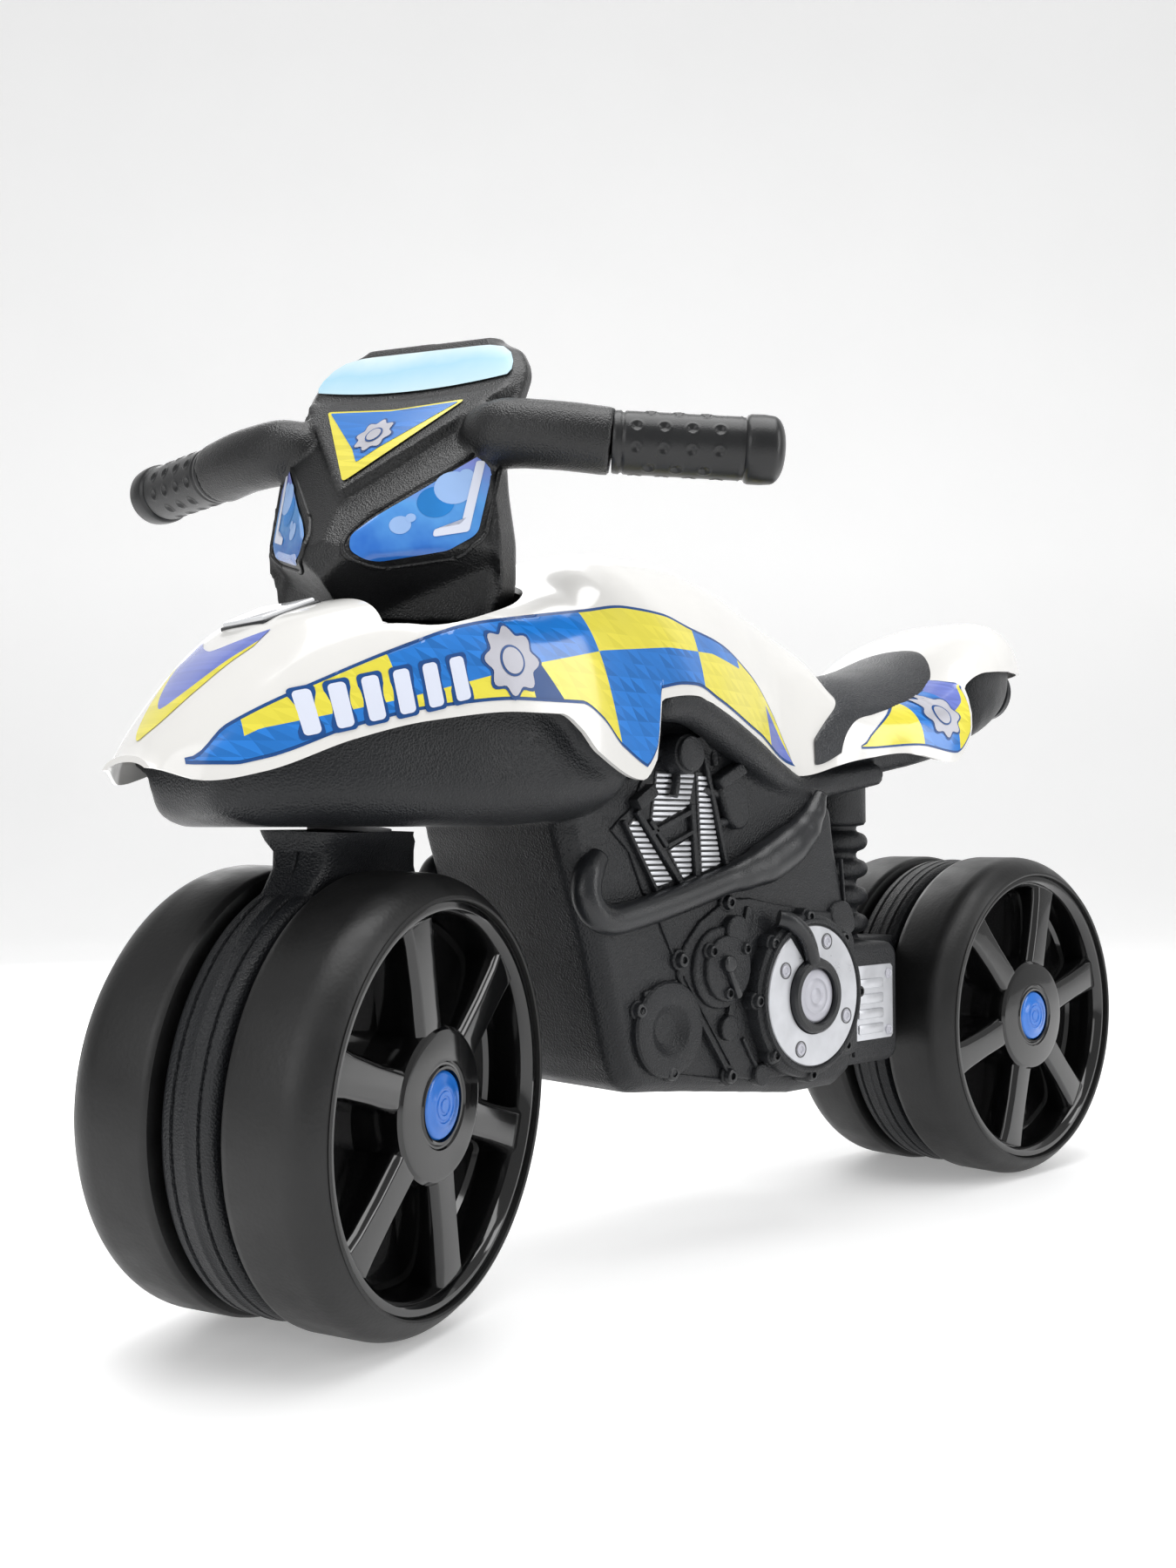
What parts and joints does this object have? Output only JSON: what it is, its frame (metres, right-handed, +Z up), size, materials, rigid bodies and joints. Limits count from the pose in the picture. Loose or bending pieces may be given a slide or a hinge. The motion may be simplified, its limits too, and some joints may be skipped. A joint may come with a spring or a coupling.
{
  "type": "foot-to-floor ride-on motorcycle",
  "caption": "Child's foot-to-floor ride-on motorcycle: plastic body, glossy cover, seat pad, steering bar with mask, and free-running twin wheels front and rear.",
  "frame": {"origin": "on the floor, under the middle of the whole object's box", "axes": "+Y from the front axle to the rear axle, +X to the rider's left, +Z up"},
  "size_m": [0.3772, 0.7769, 0.5047],
  "materials": {
    "body_black": "fine leather grain, satin",
    "cover_white": "smooth, glossy",
    "seat_grain": "fine grain, satin",
    "tyre_black": "smooth, satin",
    "wheel_gloss": "high gloss",
    "cap_blue": "satin gloss",
    "label_silver": "printed silver sheet, satin",
    "label_blue": "printed sheet, gloss",
    "label_pale": "printed sheet, gloss",
    "bush_grey": "plain moulded",
    "steel": "drawn rod",
    "lamp_black": "smooth, satin gloss",
    "badge_white": "smooth, glossy"
  },
  "bodies": {
    "frame": {"main_body": "body_black", "top_cover": "cover_white", "seat_pad": "seat_grain", "nose_badge": "badge_white", "tail_lamp": "lamp_black", "shock_absorber": "body_black", "rear_fork": "body_black", "rear_axle": "steel", "rear_axle_clips": "steel", "steering_bush_lower": "bush_grey", "steering_bush_upper": "bush_grey", "exhaust_left": "body_black", "exhaust_right": "body_black", "clutch_cover_left": "body_black", "clutch_cover_right": "body_black", "clutch_label_left": "label_silver", "clutch_label_right": "label_silver", "ignition_cover_left": "body_black", "ignition_cover_right": "body_black", "alternator_cover_left": "body_black", "alternator_cover_right": "body_black", "gearbox_label_left": "label_silver", "gearbox_label_right": "label_silver", "cylinder_head_left": "label_silver", "cylinder_head_right": "label_silver", "breather_left": "body_black", "breather_right": "body_black"},
    "steering": {"handlebar": "body_black", "grip_left": "body_black", "grip_right": "body_black", "visor_label": "label_pale", "mask_label": "label_blue", "headlamp_label_left": "label_blue", "headlamp_label_right": "label_blue", "front_fork": "body_black", "steering_shaft": "steel", "steering_collar": "steel", "front_axle": "steel", "front_axle_clips": "steel"},
    "front_wheel_left": {"front_tyre_left": "tyre_black", "front_wheel_face_left": "wheel_gloss", "front_hub_cap_left": "cap_blue", "front_wheel_bush_left": "bush_grey"},
    "front_wheel_right": {"front_tyre_right": "tyre_black", "front_wheel_face_right": "wheel_gloss", "front_hub_cap_right": "cap_blue", "front_wheel_bush_right": "bush_grey"},
    "rear_wheel_left": {"rear_tyre_left": "tyre_black", "rear_wheel_face_left": "wheel_gloss", "rear_hub_cap_left": "cap_blue", "rear_wheel_bush_left": "bush_grey"},
    "rear_wheel_right": {"rear_tyre_right": "tyre_black", "rear_wheel_face_right": "wheel_gloss", "rear_hub_cap_right": "cap_blue", "rear_wheel_bush_right": "bush_grey"}
  },
  "joints": [
    {"name": "steer", "type": "hinge", "parent": "frame", "child": "steering", "pos_m": [0.0195, -0.2632, 0.11157], "axis": [0, 0.0872, 0.9962], "range_deg": [-51.73, 8.27]},
    {"name": "front_spin_left", "type": "hinge", "parent": "steering", "child": "front_wheel_left", "pos_m": [0.02079, -0.26645, 0.11155], "axis": [0.9289, 0.3688, -0.0323], "continuous": true},
    {"name": "front_spin_right", "type": "hinge", "parent": "steering", "child": "front_wheel_right", "pos_m": [0.02079, -0.26645, 0.11155], "axis": [0.9289, 0.3688, -0.0323], "continuous": true},
    {"name": "rear_spin_left", "type": "hinge", "parent": "frame", "child": "rear_wheel_left", "pos_m": [0.0195, 0.2785, 0.11], "axis": [1, 0, 0], "continuous": true},
    {"name": "rear_spin_right", "type": "hinge", "parent": "frame", "child": "rear_wheel_right", "pos_m": [0.0195, 0.2785, 0.11], "axis": [1, 0, 0], "continuous": true}
  ]
}
